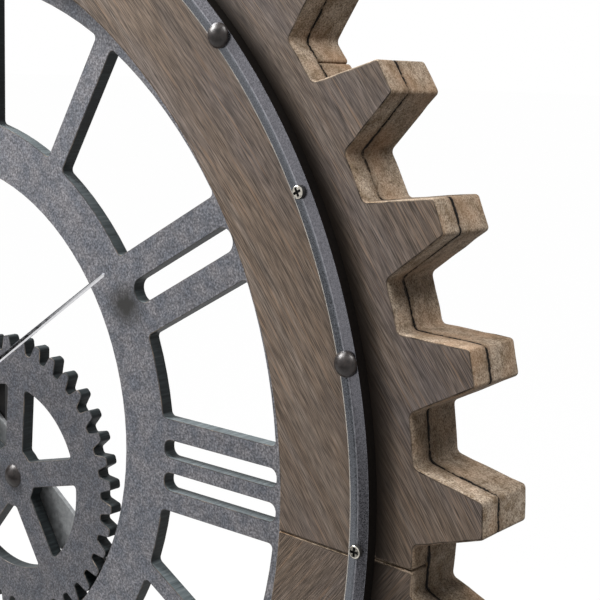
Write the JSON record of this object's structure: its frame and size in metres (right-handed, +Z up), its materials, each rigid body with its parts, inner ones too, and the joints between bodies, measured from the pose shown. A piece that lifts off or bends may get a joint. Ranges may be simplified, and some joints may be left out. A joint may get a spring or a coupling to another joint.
{
  "type": "gear wall clock",
  "caption": "Wall clock shaped as a big gear: a toothed ring of wood boards with an iron hoop, a cut metal dial of Roman numerals, gear plates and a quartz movement.",
  "frame": {"origin": "on the hands' axis, half way through the depth from the wall pads' backs to the studs' tops", "axes": "+Z up toward twelve o'clock, +X right as seen from the front, +Y into the wall, front faces -Y"},
  "size_m": [0.6996, 0.0502, 0.6996],
  "materials": {
    "stained_boards": "weathered grey-brown stain on planed boards, sawn beige edges",
    "sawn_boards": "raw sawn softwood",
    "blackened_iron": "blackened rolled angle",
    "ground_steel": "cut plate with a fine speckled ground face",
    "plated_screws": "bright nickel plate",
    "gunmetal": "dark domed heads, semi-gloss",
    "polished_steel": "polished",
    "zinc_steel": "zinc plate",
    "black_plastic": "moulded, fine matt texture",
    "white_plastic": "moulded acetal",
    "brass": "turned",
    "rubber": "matt",
    "copper_wire": "enamelled winding",
    "magnet": "sintered magnet on a plastic pinion",
    "soft_iron": "stamped sheet",
    "board_green": "solder resist",
    "cell_jacket": "plain printed jacket, no marks"
  },
  "bodies": {
    "clock_frame": {"front_board_1": "stained_boards", "front_board_2": "stained_boards", "front_board_3": "stained_boards", "front_board_4": "stained_boards", "back_board_1": "sawn_boards", "back_board_2": "sawn_boards", "back_board_3": "sawn_boards", "back_board_4": "sawn_boards", "iron_hoop": "blackened_iron", "hoop_screws": "plated_screws", "hoop_studs": "gunmetal", "dial_plate": "ground_steel", "dial_screws": "zinc_steel", "large_gear": "ground_steel", "small_gear": "ground_steel", "gear_bolts": "gunmetal", "gear_nuts": "zinc_steel", "bridge_bar": "zinc_steel", "bridge_screws": "zinc_steel", "movement_case": "black_plastic", "rear_cover": "black_plastic", "cover_screws": "zinc_steel", "gasket": "rubber", "washer": "brass", "hex_nut": "brass", "stator": "soft_iron", "coil_core": "soft_iron", "coil": "copper_wire", "circuit_board": "board_green", "cell": "cell_jacket", "contacts": "soft_iron", "hanger_plate": "zinc_steel", "hanger_screws": "zinc_steel", "wall_pads": "rubber"},
    "minute_set": {"minute_arbor": "brass", "minute_hand": "polished_steel", "hand_nut": "polished_steel"},
    "hour_set": {"hour_wheel": "white_plastic", "hour_hand": "polished_steel"},
    "setting_set": {"setting_wheel": "white_plastic", "setting_knob": "white_plastic"},
    "centre_set": {"centre_wheel": "white_plastic"},
    "third_set": {"third_wheel": "white_plastic"},
    "fourth_set": {"fourth_wheel": "white_plastic"},
    "rotor_set": {"rotor": "magnet"}
  },
  "joints": [
    {"name": "minute_spin", "type": "hinge", "parent": "clock_frame", "child": "minute_set", "pos_m": [0, 0, 0], "axis": [0, 1, 0], "continuous": true},
    {"name": "hour_spin", "type": "hinge", "parent": "clock_frame", "child": "hour_set", "pos_m": [0, 0, 0], "axis": [0, 1, 0], "continuous": true},
    {"name": "setting_spin", "type": "hinge", "parent": "clock_frame", "child": "setting_set", "pos_m": [-0.00866, 0, 0.005], "axis": [0, 1, 0], "continuous": true},
    {"name": "rotor_spin", "type": "hinge", "parent": "clock_frame", "child": "rotor_set", "pos_m": [-0.00021, 0, 0.01559], "axis": [0, 1, 0], "continuous": true},
    {"name": "fourth_spin", "type": "hinge", "parent": "clock_frame", "child": "fourth_set", "pos_m": [0.00617, 0, 0.01388], "axis": [0, 1, 0], "continuous": true},
    {"name": "third_spin", "type": "hinge", "parent": "clock_frame", "child": "third_set", "pos_m": [0.00767, 0, 0.00537], "axis": [0, 1, 0], "continuous": true},
    {"name": "centre_spin", "type": "hinge", "parent": "clock_frame", "child": "centre_set", "pos_m": [0, 0, 0], "axis": [0, 1, 0], "continuous": true}
  ],
  "couplings": [
    {"joint": "setting_spin", "follows": "minute_spin", "ratio": -0.33333},
    {"joint": "hour_spin", "follows": "minute_spin", "ratio": 0.083333},
    {"joint": "fourth_spin", "follows": "rotor_spin", "ratio": -0.1},
    {"joint": "third_spin", "follows": "rotor_spin", "ratio": 0.0066667},
    {"joint": "centre_spin", "follows": "rotor_spin", "ratio": -0.00055556}
  ]
}
